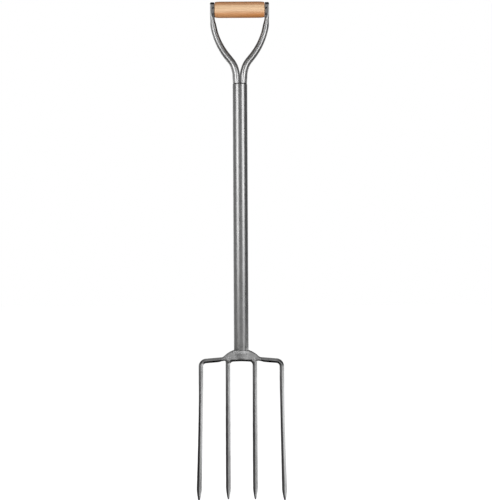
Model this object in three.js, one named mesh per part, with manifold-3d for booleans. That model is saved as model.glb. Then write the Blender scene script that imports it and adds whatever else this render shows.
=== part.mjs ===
// A digging fork: four diamond-section tines on a forged crown, a steel tube shaft, and a yoke of two
// steel tube arms that carry a turned wooden grip.
//
// Millimetres. +Z runs up the shaft, +X to the right as seen from the front, and the front faces -Y.
// The fork is laid out by height above the points of its outer tines. The whole group is then lowered,
// so that the origin is the underside of the grip, where the fork hangs.

import * as THREE from 'three';
import { mergeVertices } from 'three/addons/utils/BufferGeometryUtils.js';
import Module from 'manifold-3d';

const GAP = 0.3; // between pieces that touch

// Heights above the points of the outer tines
const GRIP_AXIS_Z = 999.3;
const ARM_TOP_Z = 1014;
const SHAFT_TOP_Z = 847.6;
const SHAFT_FOOT_Z = 305;
const INNER_POINT_Z = 2.5;

// Shaft
const SHAFT_R = 15;
const SHAFT_WALL = 1.6;

// Yoke arms: a half-round root on the shaft, a reverse bend, and a flattened end beside the grip
const ARM_R = SHAFT_R / 2;
const ARM_WALL = 1.8;
const ARM_ROOT_X = ARM_R;
const ARM_END_X = 55.6;
const ARM_LEAN = THREE.MathUtils.degToRad(38.5);
const ARM_ROOT_STRAIGHT = 16.7;
const ARM_LOWER_BEND_R = 49;
const ARM_UPPER_BEND_R = 139;
const ARM_ROOT_LENGTH = 56; // height over which the root loses the outline of the shaft
const ARM_TAPER_FROM_Z = 880; // a slight taper, then a short, stronger one beside the grip
const ARM_TAPER_TO_Z = 965;
const ARM_NARROW_TO_Z = 981;
const ARM_SQUARE_FROM_Z = 980;
const ARM_SQUARE_TO_Z = 997;
const ARM_ROOT_HALF_WIDTH = ARM_R - GAP / 2;
const ARM_TAPERED_HALF_WIDTH = 6.3;
const ARM_END_HALF_WIDTH = 4.6;
const ARM_SWELL = 0.9; // how much the outer side swells where the tube starts to bend
const ARM_SWELL_HEIGHTS = [0, 18, 26, 46]; // above the seam: start, full, full, end
const ARM_ROOT_HALF_DEPTH = 14;
const ARM_HALF_DEPTH = 10.2;
const ARM_END_HALF_DEPTH = 8.8;
const ARM_ROOT_SQUARENESS = 2.2;
const ARM_END_SQUARENESS = 8; // exponent of the flattened section; 2 is an ellipse
const ARM_CAP = 2.4; // height of the rounded closed top
const ARM_CAP_INSET = 0.38; // share of the width that the top rounds off
const ARM_BORE_TOP_Z = 1009;
const SPIGOT_LENGTH = 50;
const SPIGOT_INTO_ARM = 1;
const SPIGOT_R = SHAFT_R - SHAFT_WALL - GAP;

// Grip, its rod and its cross pins
const GRIP_END_R = 15.9;
const GRIP_MIDDLE_R = 16.6;
const GRIP_CHAMFER = 1;
const ROD_R = 4;
const PIN_X = 54;
const PIN_Z = GRIP_AXIS_Z + 2.7; // each pin lies in a groove in the top of the rod
const ROD_END_X = PIN_X + 2.6;
const PIN_R = 2;
const PIN_BORE_R = 1.1;
const PIN_SLOT_WIDTH = 0.6;
const PIN_RECESS = 0.6; // how far each end lies inside the arm's surface

// Crown: a dome with a collar under the shaft and a tang inside it
const CROWN_HALF_WIDTH = 36.7;
const CROWN_ARC_R = 50;
const CROWN_ARC_CENTRE_Z = 257;
const CROWN_BOTTOM_Z = 281.4;
const CROWN_FLAT_Z = 283; // the underside is a little higher in the middle
const CROWN_FLAT_HALF_WIDTH = 10;
const CROWN_FOOT_X = 22;
const CROWN_DEPTH = 19;
const CROWN_BEVEL = 3;
const COLLAR_R = 15.7;
const COLLAR_WAIST_R = 11;
const COLLAR_HEIGHT = 8;
const COLLAR_SLOPE = 2; // height over which the collar closes in to the shaft
const TANG_R = SPIGOT_R;
const TANG_TOP_Z = 365;
const TANG_CHAMFER = 3;

// Tines: a diamond section with blunt ridges, deeper front to back than it is wide
const TINE_OUTER_X = 82.6;
const TINE_INNER_X = 27.5;
const TINE_BAR_Z = 286; // height of the outer tine's bar where it leaves the crown
const TINE_BAR_SLOPE = THREE.MathUtils.degToRad(4.7);
const TINE_CORNER_R = 11.5;
const TINE_BAR_WIDTH = 9.4;
// Blade widths as [height, width]
const TINE_OUTER_WIDTHS = [[40, 10.2], [60, 9.8], [91, 9.2], [130, 8.8], [160, 8.4], [200, 8.2], [244, 9]];
const TINE_INNER_WIDTHS = [[91, 9.9], [130, 9.8], [162, 9.6], [203, 9.2], [244, 9]];
const TINE_ROOT_DEPTH = 14;
const TINE_END_DEPTH = 9.5;
const TINE_RIDGE = 1.8;
const TINE_EDGE = 1.8;
const TINE_POINT_LENGTH = 24;
const TINE_POINT_SCALE = 0.2;
const TINE_POINT_POWER = 1.6;
const TINE_ROOT_FLARE = 4; // extra width of an inner tine where it meets the crown
const TINE_FLARE_LENGTH = 9;
const TINE_SPLAY = 4.7; // how far an outer point stands outside its own straight line
const TINE_SPLAY_POWER = 1.25;
const TINE_SPLAY_FROM_Z = 230;
const TINE_DISH = 14; // how far the points stand forward of the shaft's axis

// Facets
const GRIP_SIDES = 40;
const SHAFT_SIDES = 48;
const ARM_SIDES = 32;
const COLLAR_SIDES = 32;
const ROD_SIDES = 24;
const TINE_SIDES = 8;
const THROUGH = 10; // how far a cutter runs past what it cuts

const wasm = await Module();
wasm.setup();

// --- Booleans -------------------------------------------------------------------------------------

function toSolid(geometry) {
  const bare = geometry.clone();
  bare.deleteAttribute('normal');
  bare.deleteAttribute('uv');
  const merged = mergeVertices(bare, 1e-4);
  return new wasm.Manifold(new wasm.Mesh({
    numProp: 3,
    vertProperties: new Float32Array(merged.attributes.position.array),
    triVerts: new Uint32Array(merged.index.array),
  }));
}

function toGeometry(solid) {
  const mesh = solid.getMesh();
  const geometry = new THREE.BufferGeometry();
  geometry.setAttribute('position', new THREE.BufferAttribute(mesh.vertProperties, 3));
  geometry.setIndex(new THREE.BufferAttribute(mesh.triVerts, 1));
  geometry.computeVertexNormals();
  return geometry;
}

function joined(first, second) {
  return toGeometry(toSolid(first).add(toSolid(second)));
}

function withCuts(geometry, cutters) {
  const cut = cutters.reduce((solid, cutter) => solid.subtract(toSolid(cutter)), toSolid(geometry));
  return toGeometry(cut);
}

// --- Bars -----------------------------------------------------------------------------------------

// A bar of any section along any path. place(station, across, forward) gives the point for a vertex
// whose offsets from the middle of a round bar of radius 1 are across and forward.
function shapedBar(sides, stations, place, turn = 0) {
  const steps = stations.length - 1;
  const geometry = new THREE.CylinderGeometry(1, 1, 1, sides, steps, false, turn);
  const points = geometry.attributes.position;
  for (let i = 0; i < points.count; i += 1) {
    const step = Math.round((points.getY(i) + 0.5) * steps);
    const at = place(stations[step], points.getX(i), points.getZ(i));
    points.setXYZ(i, at.x, at.y, at.z);
  }
  return geometry;
}

// Distances along a bar, from 0: each span is [where it ends, how many steps it takes].
function stationsAlong(...spans) {
  const stations = [0];
  spans.forEach(([end, steps]) => {
    const start = stations[stations.length - 1];
    for (let i = 1; i <= steps; i += 1) {
      stations.push(start + ((end - start) * i) / steps);
    }
  });
  return stations;
}

// A value that follows a table of [height, value], held at both ends.
function fromTable(table, z) {
  const next = table.findIndex(([height]) => height > z);
  if (next < 1) {
    return table[next === 0 ? 0 : table.length - 1][1];
  }
  const [fromZ, first] = table[next - 1];
  const [toZ, second] = table[next];
  return THREE.MathUtils.mapLinear(z, fromZ, toZ, first, second);
}

// A value that eases from one to another between two heights or distances.
function eased(value, from, to, first, second) {
  return THREE.MathUtils.lerp(first, second, THREE.MathUtils.smoothstep(value, from, to));
}

function mirrored(geometry) {
  const other = geometry.clone().scale(-1, 1, 1);
  const index = other.index.array;
  for (let i = 0; i < index.length; i += 3) {
    [index[i], index[i + 1]] = [index[i + 1], index[i]];
  }
  other.computeVertexNormals();
  return other;
}

// A plain cylinder centred on the origin, lying along x, y or z.
function rodAlong(axis, radius, length) {
  const rod = new THREE.CylinderGeometry(radius, radius, length, ROD_SIDES);
  if (axis === 'x') {
    rod.rotateZ(Math.PI / 2);
  }
  if (axis === 'z') {
    rod.rotateX(Math.PI / 2);
  }
  return rod;
}

// --- Grip -----------------------------------------------------------------------------------------

// A turned barrel with chamfered ends, bored for the rod.
function gripGeometry() {
  const half = ARM_END_X - ARM_END_HALF_WIDTH - GAP;
  const steps = 10;
  const profile = [new THREE.Vector2(ROD_R + GAP, -half)];
  for (let i = 0; i <= steps; i += 1) {
    const along = (2 * i) / steps - 1;
    const radius = THREE.MathUtils.lerp(GRIP_MIDDLE_R, GRIP_END_R, along * along);
    profile.push(new THREE.Vector2(radius, along * (half - GRIP_CHAMFER)));
  }
  profile.splice(1, 0, new THREE.Vector2(GRIP_END_R - GRIP_CHAMFER, -half));
  profile.push(new THREE.Vector2(GRIP_END_R - GRIP_CHAMFER, half));
  profile.push(new THREE.Vector2(ROD_R + GAP, half));
  profile.push(profile[0].clone());
  return new THREE.LatheGeometry(profile, GRIP_SIDES).rotateZ(-Math.PI / 2).translate(0, 0, GRIP_AXIS_Z);
}

// The rod runs through the grip into both arms, and each end is grooved across its top for a pin.
function rodGeometry() {
  const rod = rodAlong('x', ROD_R, 2 * ROD_END_X);
  const hole = rodAlong('y', PIN_R + GAP, 2 * (ROD_R + THROUGH));
  rod.translate(0, 0, GRIP_AXIS_Z);
  const grooves = [-1, 1].map((side) => hole.clone().translate(side * PIN_X, 0, PIN_Z));
  return withCuts(rod, grooves);
}

// A rolled spring pin, open down one side, that runs from the front of the arm to its back.
function pinGeometry(side) {
  const slotAngle = PIN_SLOT_WIDTH / PIN_R;
  const section = new THREE.Shape();
  section.absarc(0, 0, PIN_R, slotAngle / 2, 2 * Math.PI - slotAngle / 2, false);
  section.absarc(0, 0, PIN_BORE_R, 2 * Math.PI - slotAngle / 2, slotAngle / 2, true);
  section.closePath();
  const length = 2 * (ARM_END_HALF_DEPTH - PIN_RECESS);
  const settings = { depth: length, bevelEnabled: false, curveSegments: 10 };
  const pin = new THREE.ExtrudeGeometry(section, settings).translate(0, 0, -length / 2);
  return pin.rotateX(Math.PI / 2).translate(side * PIN_X, 0, PIN_Z);
}

// --- Yoke arms ------------------------------------------------------------------------------------

// The centre line of the right arm above the shaft, in X and Z.
function armPath() {
  const lowerCentreX = ARM_ROOT_X + ARM_LOWER_BEND_R;
  const lowerCentreZ = SHAFT_TOP_Z + ARM_ROOT_STRAIGHT;
  const bends = (ARM_LOWER_BEND_R + ARM_UPPER_BEND_R) * (1 - Math.cos(ARM_LEAN));
  const straight = (ARM_END_X - ARM_ROOT_X - bends) / Math.sin(ARM_LEAN);
  const bendHeights = (ARM_LOWER_BEND_R + ARM_UPPER_BEND_R) * Math.sin(ARM_LEAN);
  const upperCentreZ = lowerCentreZ + bendHeights + straight * Math.cos(ARM_LEAN);
  const path = new THREE.Path();
  path.moveTo(ARM_ROOT_X, SHAFT_TOP_Z + GAP);
  path.lineTo(ARM_ROOT_X, lowerCentreZ);
  path.absarc(lowerCentreX, lowerCentreZ, ARM_LOWER_BEND_R, Math.PI, Math.PI - ARM_LEAN, true);
  path.absarc(ARM_END_X - ARM_UPPER_BEND_R, upperCentreZ, ARM_UPPER_BEND_R, -ARM_LEAN, 0, false);
  path.lineTo(ARM_END_X, ARM_TOP_Z);
  return path;
}

// How much of its section the arm keeps near its rounded top.
function capScale(belowTop) {
  const into = Math.max(0, 1 - belowTop / ARM_CAP);
  return 1 - ARM_CAP_INSET * (1 - Math.sqrt(1 - into * into));
}

// How far a section reaches in a direction: half of a tube with round corners at the root, then an oval
// tube, then a flat-faced end beside the grip.
function armReach(across, forward, z, inset) {
  const [start, full, stillFull, end] = ARM_SWELL_HEIGHTS.map((up) => SHAFT_TOP_Z + up);
  const swell = eased(z, start, full, 0, ARM_SWELL) - eased(z, stillFull, end, 0, ARM_SWELL);
  const taper = eased(z, ARM_TAPER_FROM_Z, ARM_TAPER_TO_Z, ARM_ROOT_HALF_WIDTH, ARM_TAPERED_HALF_WIDTH);
  const pinch = ARM_TAPERED_HALF_WIDTH - ARM_END_HALF_WIDTH;
  const inner = taper - eased(z, ARM_TAPER_TO_Z, ARM_NARROW_TO_Z, 0, pinch) - inset;
  const half = across > 0 ? inner + swell : inner;
  const rootDepth = eased(z, SHAFT_TOP_Z, ARM_TAPER_FROM_Z, ARM_ROOT_HALF_DEPTH, ARM_HALF_DEPTH);
  const thinner = ARM_HALF_DEPTH - ARM_END_HALF_DEPTH;
  const depth = rootDepth - eased(z, ARM_TAPER_FROM_Z, ARM_NARROW_TO_Z, 0, thinner) - inset;
  const rounder = eased(z, SHAFT_TOP_Z, SHAFT_TOP_Z + ARM_ROOT_LENGTH, ARM_ROOT_SQUARENESS, 2);
  const power = rounder + eased(z, ARM_SQUARE_FROM_Z, ARM_SQUARE_TO_Z, 0, ARM_END_SQUARENESS - 2);
  const oval = ((Math.abs(across) / half) ** power + (Math.abs(forward) / depth) ** power) ** (-1 / power);
  const rootR = (inset > 0 ? SPIGOT_R : SHAFT_R + swell) - inset;
  const round = Math.sqrt(rootR ** 2 - (ARM_ROOT_X * forward) ** 2) - ARM_ROOT_X * across;
  return eased(z, SHAFT_TOP_Z, SHAFT_TOP_Z + ARM_ROOT_LENGTH, Math.min(oval, round), oval);
}

// An inset makes the bore.
function armPlacer(path, inset) {
  const length = path.getLength();
  return (station, across, forward) => {
    const centre = path.getPoint(station / length);
    const heading = path.getTangent(station / length);
    const rim = Math.hypot(across, forward);
    const cap = inset > 0 ? 1 : capScale(ARM_TOP_Z - centre.y);
    const reach = rim > 0 ? armReach(across / rim, forward / rim, centre.y, inset) * cap : 0;
    return new THREE.Vector3(
      centre.x + heading.y * across * reach,
      -forward * reach,
      centre.y - heading.x * across * reach,
    );
  };
}

// An upright half-round bar with its flat facing the other arm.
function halfRound(radius, flatX, fromZ, toZ) {
  const reach = Math.acos(flatX / radius);
  const section = new THREE.Shape();
  section.absarc(0, 0, radius, -reach, reach, false);
  section.closePath();
  const settings = { depth: toZ - fromZ, bevelEnabled: false, curveSegments: 16 };
  return new THREE.ExtrudeGeometry(section, settings).translate(0, 0, fromZ);
}

// A tube arm with a half-round spigot for the shaft, holes for the rod and the cross pin, and a
// bore that is open at the foot of the spigot.
function armGeometry() {
  const path = armPath();
  const length = path.getLength();
  const bendEnd = length - (ARM_TOP_Z - ARM_SQUARE_TO_Z);
  const outerSpans = [[ARM_ROOT_LENGTH, 7], [bendEnd, 12], [length - ARM_CAP, 2], [length, 3]];
  const boreLength = length - (ARM_TOP_Z - ARM_BORE_TOP_Z);
  const boreSpans = [[ARM_ROOT_LENGTH, 6], [bendEnd, 11], [boreLength, 2]];
  const tube = shapedBar(ARM_SIDES, stationsAlong(...outerSpans), armPlacer(path, 0));
  const bore = shapedBar(ARM_SIDES, stationsAlong(...boreSpans), armPlacer(path, ARM_WALL));
  const footZ = SHAFT_TOP_Z - SPIGOT_LENGTH;
  const topZ = SHAFT_TOP_Z + SPIGOT_INTO_ARM;
  const spigot = halfRound(SPIGOT_R, GAP / 2, footZ, topZ);
  const boreR = SPIGOT_R - ARM_WALL;
  const spigotBore = halfRound(boreR, GAP / 2 + ARM_WALL, footZ - THROUGH, topZ);
  const rodHole = rodAlong('x', ROD_R + GAP, 2 * (ARM_END_HALF_WIDTH + GAP));
  rodHole.translate(ROD_END_X - ARM_END_HALF_WIDTH, 0, GRIP_AXIS_Z);
  const pinHole = rodAlong('y', PIN_R + GAP, 2 * (ARM_END_HALF_DEPTH + THROUGH));
  pinHole.translate(PIN_X, 0, PIN_Z);
  return withCuts(joined(tube, spigot), [bore, spigotBore, rodHole, pinHole]);
}

// --- Shaft ----------------------------------------------------------------------------------------

function shaftGeometry() {
  const bore = SHAFT_R - SHAFT_WALL;
  const profile = [
    new THREE.Vector2(bore, SHAFT_FOOT_Z),
    new THREE.Vector2(SHAFT_R, SHAFT_FOOT_Z),
    new THREE.Vector2(SHAFT_R, SHAFT_TOP_Z),
    new THREE.Vector2(bore, SHAFT_TOP_Z),
    new THREE.Vector2(bore, SHAFT_FOOT_Z),
  ];
  return new THREE.LatheGeometry(profile, SHAFT_SIDES).rotateX(Math.PI / 2);
}

// --- Crown ----------------------------------------------------------------------------------------

// The dome seen from the front, with a flat stretch under its middle and a seat for the tube on top.
function crownBody() {
  const rise = Math.sqrt(CROWN_ARC_R ** 2 - CROWN_HALF_WIDTH ** 2);
  const endAngle = Math.atan2(rise, CROWN_HALF_WIDTH);
  const outline = new THREE.Shape();
  outline.moveTo(-CROWN_HALF_WIDTH, CROWN_BOTTOM_Z);
  outline.lineTo(-CROWN_FOOT_X, CROWN_BOTTOM_Z);
  outline.lineTo(-CROWN_FLAT_HALF_WIDTH, CROWN_FLAT_Z);
  outline.lineTo(CROWN_FLAT_HALF_WIDTH, CROWN_FLAT_Z);
  outline.lineTo(CROWN_FOOT_X, CROWN_BOTTOM_Z);
  outline.lineTo(CROWN_HALF_WIDTH, CROWN_BOTTOM_Z);
  outline.absarc(0, CROWN_ARC_CENTRE_Z, CROWN_ARC_R, endAngle, Math.PI - endAngle, false);
  outline.closePath();
  const settings = {
    depth: CROWN_DEPTH - 2 * CROWN_BEVEL,
    bevelThickness: CROWN_BEVEL,
    bevelSize: CROWN_BEVEL,
    bevelOffset: -CROWN_BEVEL,
    bevelSegments: 2,
    curveSegments: 18,
  };
  const body = new THREE.ExtrudeGeometry(outline, settings);
  body.translate(0, 0, CROWN_BEVEL - CROWN_DEPTH / 2).rotateX(Math.PI / 2);
  const seat = rodAlong('z', COLLAR_R, CROWN_DEPTH);
  seat.translate(0, 0, SHAFT_FOOT_Z - GAP + CROWN_DEPTH / 2);
  return withCuts(body, [seat]);
}

// The round collar that the shaft stands on, and the tang that fills the foot of the tube.
function crownCore() {
  const profile = [
    new THREE.Vector2(0, CROWN_FLAT_Z + GAP),
    new THREE.Vector2(COLLAR_WAIST_R, CROWN_FLAT_Z + GAP),
    new THREE.Vector2(COLLAR_R, SHAFT_FOOT_Z - COLLAR_HEIGHT),
    new THREE.Vector2(COLLAR_R, SHAFT_FOOT_Z - COLLAR_SLOPE),
    new THREE.Vector2(SHAFT_R, SHAFT_FOOT_Z - GAP),
    new THREE.Vector2(TANG_R, SHAFT_FOOT_Z - GAP),
    new THREE.Vector2(TANG_R, TANG_TOP_Z - TANG_CHAMFER),
    new THREE.Vector2(TANG_R - TANG_CHAMFER, TANG_TOP_Z),
    new THREE.Vector2(0, TANG_TOP_Z),
  ];
  return new THREE.LatheGeometry(profile, COLLAR_SIDES).rotateX(Math.PI / 2);
}

// --- Tines ----------------------------------------------------------------------------------------

function tineDepth(z) {
  return THREE.MathUtils.lerp(TINE_END_DEPTH, TINE_ROOT_DEPTH, z / CROWN_BOTTOM_Z);
}

// How much of its section the tine keeps near its point.
function pointScale(abovePoint) {
  const into = Math.max(0, 1 - abovePoint / TINE_POINT_LENGTH);
  return 1 - (1 - TINE_POINT_SCALE) * into ** TINE_POINT_POWER;
}

function tineDish(z) {
  return TINE_DISH * (1 - z / CROWN_BOTTOM_Z) ** 2;
}

function tineSplay(z) {
  return TINE_SPLAY * Math.max(0, 1 - z / TINE_SPLAY_FROM_Z) ** TINE_SPLAY_POWER;
}

// The diamond section: blunt ridges front and back, blunt edges left and right.
function diamond(across, forward, width, depth) {
  const onRidge = Math.abs(forward) > Math.abs(across);
  return {
    sideways: (Math.sign(across) * (onRidge ? TINE_RIDGE : width)) / 2,
    frontwards: (Math.sign(forward) * (onRidge ? depth : TINE_EDGE)) / 2,
  };
}

// A bar out from the crown, a corner, and the blade down to its point. The other side is its mirror.
function outerTineGeometry() {
  const startX = CROWN_HALF_WIDTH + GAP + (TINE_BAR_WIDTH / 2) * Math.sin(TINE_BAR_SLOPE);
  const turn = Math.PI / 2 - TINE_BAR_SLOPE;
  const cornerX = TINE_OUTER_X - TINE_CORNER_R;
  const barEndX = cornerX + TINE_CORNER_R * Math.sin(TINE_BAR_SLOPE);
  const barEndZ = TINE_BAR_Z - (barEndX - startX) * Math.tan(TINE_BAR_SLOPE);
  const cornerZ = barEndZ - TINE_CORNER_R * Math.cos(TINE_BAR_SLOPE);
  const path = new THREE.Path();
  path.moveTo(startX, TINE_BAR_Z);
  path.lineTo(barEndX, barEndZ);
  path.absarc(cornerX, cornerZ, TINE_CORNER_R, turn, 0, true);
  path.lineTo(TINE_OUTER_X, 0);
  const length = path.getLength();
  const barEnd = (barEndX - startX) / Math.cos(TINE_BAR_SLOPE);
  const cornerEnd = barEnd + TINE_CORNER_R * turn;
  const spans = [[barEnd, 2], [cornerEnd, 6], [length - TINE_POINT_LENGTH, 12], [length, 4]];
  const place = (station, across, forward) => {
    const centre = path.getPoint(station / length);
    const heading = path.getTangent(station / length);
    const blade = THREE.MathUtils.smoothstep(station, 0, cornerEnd);
    const scale = pointScale(length - station);
    const bladeWidth = fromTable(TINE_OUTER_WIDTHS, centre.y);
    const width = THREE.MathUtils.lerp(TINE_BAR_WIDTH, bladeWidth, blade) * scale;
    const section = diamond(across, forward, width, tineDepth(centre.y) * scale);
    return new THREE.Vector3(
      centre.x + tineSplay(centre.y) + heading.y * section.sideways,
      -tineDish(centre.y) - section.frontwards,
      centre.y - heading.x * section.sideways,
    );
  };
  return shapedBar(TINE_SIDES, stationsAlong(...spans), place, Math.PI / TINE_SIDES);
}

// A straight blade that flares where it meets the underside of the crown.
function innerTineGeometry() {
  const topZ = CROWN_BOTTOM_Z - GAP;
  const length = topZ - INNER_POINT_Z;
  const spans = [[TINE_FLARE_LENGTH, 4], [length - TINE_POINT_LENGTH, 12], [length, 4]];
  const place = (station, across, forward) => {
    const z = INNER_POINT_Z + station;
    const below = Math.max(0, 1 - (topZ - z) / TINE_FLARE_LENGTH);
    const scale = pointScale(station);
    const width = (fromTable(TINE_INNER_WIDTHS, z) + TINE_ROOT_FLARE * below ** 2) * scale;
    const section = diamond(across, forward, width, tineDepth(z) * scale);
    return new THREE.Vector3(TINE_INNER_X + section.sideways, -tineDish(z) - section.frontwards, z);
  };
  const stations = stationsAlong(...spans).map((station) => length - station).reverse();
  return shapedBar(TINE_SIDES, stations, place, Math.PI / TINE_SIDES);
}

// --- Assembly -------------------------------------------------------------------------------------

const finishes = {
  wood: { color: 0xd9a877, roughness: 0.5, metalness: 0 },
  tube: { color: 0x8f8f8f, roughness: 0.35, metalness: 1 },
  forged: { color: 0x7d7d7d, roughness: 0.45, metalness: 1 },
  pin: { color: 0x6a6a6a, roughness: 0.4, metalness: 1 },
};

const fork = new THREE.Group();
fork.position.z = GRIP_MIDDLE_R - GRIP_AXIS_Z;

function add(name, geometry, finish) {
  const mesh = new THREE.Mesh(geometry, new THREE.MeshStandardMaterial(finishes[finish]));
  mesh.name = name;
  fork.add(mesh);
}

function addPair(name, geometry, finish) {
  add(`${name}_right`, geometry, finish);
  add(`${name}_left`, mirrored(geometry), finish);
}

add('grip', gripGeometry(), 'wood');
add('grip_rod', rodGeometry(), 'pin');
add('grip_pin_right', pinGeometry(1), 'pin');
add('grip_pin_left', pinGeometry(-1), 'pin');
addPair('arm', armGeometry(), 'tube');
add('shaft', shaftGeometry(), 'tube');
add('crown', joined(crownBody(), crownCore()), 'forged');
addPair('tine_outer', outerTineGeometry(), 'forged');
addPair('tine_inner', innerTineGeometry(), 'forged');

export default fork;
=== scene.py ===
"""A digging fork in a plain white studio: forged steel head, steel tube shaft and yoke, ash grip.

Shapes are worked out in millimetres in the fork's own frame (+Z up the shaft, the front faces -Y,
the origin under the grip) and scaled to metres when a mesh is made.
"""

import itertools
import math

import bmesh
import bpy
import numpy as np
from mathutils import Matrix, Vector, noise


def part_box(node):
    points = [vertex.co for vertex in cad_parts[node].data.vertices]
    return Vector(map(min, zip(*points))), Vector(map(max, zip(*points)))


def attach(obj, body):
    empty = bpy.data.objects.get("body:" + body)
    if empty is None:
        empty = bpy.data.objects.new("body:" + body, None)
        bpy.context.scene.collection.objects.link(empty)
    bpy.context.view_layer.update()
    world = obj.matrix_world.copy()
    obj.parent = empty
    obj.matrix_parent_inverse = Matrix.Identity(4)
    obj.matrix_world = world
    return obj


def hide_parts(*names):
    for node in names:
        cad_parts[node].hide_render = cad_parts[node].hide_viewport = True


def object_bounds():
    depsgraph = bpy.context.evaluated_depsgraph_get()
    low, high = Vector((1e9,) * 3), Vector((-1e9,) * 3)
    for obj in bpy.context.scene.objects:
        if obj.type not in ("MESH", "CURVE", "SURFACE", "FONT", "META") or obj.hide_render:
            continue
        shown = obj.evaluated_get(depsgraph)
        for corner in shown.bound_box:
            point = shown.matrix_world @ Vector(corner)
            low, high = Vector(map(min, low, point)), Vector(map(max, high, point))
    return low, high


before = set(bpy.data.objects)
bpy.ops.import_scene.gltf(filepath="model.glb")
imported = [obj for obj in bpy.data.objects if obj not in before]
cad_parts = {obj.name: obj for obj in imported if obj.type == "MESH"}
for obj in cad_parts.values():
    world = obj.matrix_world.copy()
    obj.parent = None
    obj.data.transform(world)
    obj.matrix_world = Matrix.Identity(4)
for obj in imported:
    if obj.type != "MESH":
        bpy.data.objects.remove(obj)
cad_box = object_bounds()

MM = 0.001  # metres in a millimetre
BODY = "root"


def box_mm(node):
    """Lowest and highest corner of a CAD node, in millimetres."""
    low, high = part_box(node)
    return np.array(low) / MM, np.array(high) / MM


# --- Places and sizes from the frame ---

grip_low, grip_high = box_mm("grip")
pin_low, pin_high = box_mm("grip_pin_right")
_, arm_high = box_mm("arm_right")
shaft_low, shaft_high = box_mm("shaft")
crown_low, crown_high = box_mm("crown")
outer_low, outer_high = box_mm("tine_outer_right")
inner_low, inner_high = box_mm("tine_inner_right")

GAP = 0.3  # between pieces that touch
GRIP_HALF_LENGTH = grip_high[0]
GRIP_R = (grip_high[2] - grip_low[2]) / 2
GRIP_Z = (grip_high[2] + grip_low[2]) / 2
PIN_X = (pin_low[0] + pin_high[0]) / 2
PIN_Z = (pin_low[2] + pin_high[2]) / 2
PIN_HALF_LENGTH = pin_high[1]
SHAFT_R = shaft_high[0]
SHAFT_TOP_Z = shaft_high[2]
SHAFT_FOOT_Z = shaft_low[2]
SHAFT_WALL = 1.6
SEAM_Z = SHAFT_TOP_Z + GAP / 2  # the weld between the shaft and the arms
ARM_TOP_Z = arm_high[2]
ARM_OUTSIDE_X = arm_high[0]
CROWN_HALF_WIDTH = crown_high[0]
CROWN_BOTTOM_Z = crown_low[2]
TIPS_Z = outer_low[2]
INNER_TIP_Z = inner_low[2]
INNER_TINE_X = (inner_low[0] + inner_high[0]) / 2

TINE_BAR_UP = 4.6  # from the crown's underside to the middle of an outer tine's bar
TINE_BAR_SLOPE = math.radians(4.7)
CROWN_ARC_R = 50
CROWN_ARC_BELOW = 48  # the arc's centre, below the foot of the shaft

# --- Mesh helpers ---


def eased(value, start, end, first, second):
    """A value that eases from first to second as value goes from start to end."""
    share = np.clip((value - start) / (end - start), 0, 1)
    return first + (second - first) * share * share * (3 - 2 * share)


def loft(rings, looped=False):
    """Vertices and faces of a skin over rings of equal length, capped at both ends unless looped."""
    rings = np.asarray(rings)
    count, sides = rings.shape[:2]
    vertices = rings.reshape(-1, 3)
    faces = []
    for i in range(count if looped else count - 1):
        this, following = i * sides, (i + 1) % count * sides
        for j in range(sides):
            k = (j + 1) % sides
            faces.append((this + j, this + k, following + k, following + j))
    if not looped:
        last, middle = (count - 1) * sides, count * sides
        vertices = np.vstack([vertices, rings[0].mean(0), rings[-1].mean(0)])
        for j in range(sides):
            k = (j + 1) % sides
            faces.append((k, j, middle))
            faces.append((last + j, last + k, middle + 1))
    return vertices, faces


def turned(profile, axis, centre_z=0.0, sides=96):
    """Rings of a turned shape. profile holds (place along the axis, radius); axis is 'x' or 'z'."""
    angle = np.linspace(0, 2 * math.pi, sides, endpoint=False)
    rings = []
    for along, radius in profile:
        across, forward = radius * np.cos(angle), radius * np.sin(angle)
        fixed = np.full(sides, along)
        if axis == "x":
            rings.append(np.stack([fixed, forward, centre_z + across], 1))
        else:
            rings.append(np.stack([across, forward, centre_z + fixed], 1))
    return rings


def rounded_edge(along, radius, round_along, round_radius, steps=6):
    """Profile points of a quarter round. round_along and round_radius are its signed sizes, from the
    point (along + round_along, radius) to the point (along, radius - round_radius)."""
    angle = np.linspace(0, math.pi / 2, steps)
    return [
        (along + round_along * (1 - math.sin(a)), radius - round_radius * (1 - math.cos(a)))
        for a in angle
    ]


def mirrored(vertices):
    """The left side's vertices, from the right side's."""
    return np.asarray(vertices) * (-1, 1, 1)


def new_mesh(name, vertices, faces, sharp_angle=40):
    """A mesh object in metres, with outward normals and edges sharper than sharp_angle kept sharp."""
    mesh = bpy.data.meshes.new(name)
    mesh.from_pydata((np.asarray(vertices) * MM).tolist(), [], faces)
    made = bmesh.new()
    made.from_mesh(mesh)
    bmesh.ops.recalc_face_normals(made, faces=made.faces)
    made.to_mesh(mesh)
    made.free()
    mesh.shade_smooth()
    mesh.set_sharp_from_angle(angle=math.radians(sharp_angle))
    piece = bpy.data.objects.new(name, mesh)
    bpy.context.scene.collection.objects.link(piece)
    return piece


def drill(piece, start, end, radius, sides=48):
    """Cuts a round hole through a piece, from start to end, in millimetres."""
    start, end = Vector(start), Vector(end)
    turn = (end - start).to_track_quat("Z", "Y")
    profile = [(0, radius), ((end - start).length, radius)]
    rings = [
        [start + turn @ Vector(point) for point in ring] for ring in turned(profile, "z", sides=sides)
    ]
    cutter = new_mesh("cutter", *loft(rings))
    cut = piece.modifiers.new("hole", "BOOLEAN")
    cut.operation, cut.solver, cut.object = "DIFFERENCE", "EXACT", cutter
    finished = bpy.data.meshes.new_from_object(
        piece.evaluated_get(bpy.context.evaluated_depsgraph_get())
    )
    piece.modifiers.clear()
    piece.data = finished
    bpy.data.objects.remove(cutter)


def finish_piece(piece, material, node):
    """Gives a piece its material and its body, and hides the CAD node that it stands for."""
    piece.data.materials.clear()
    piece.data.materials.append(material)
    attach(piece, BODY)
    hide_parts(node)


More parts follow.
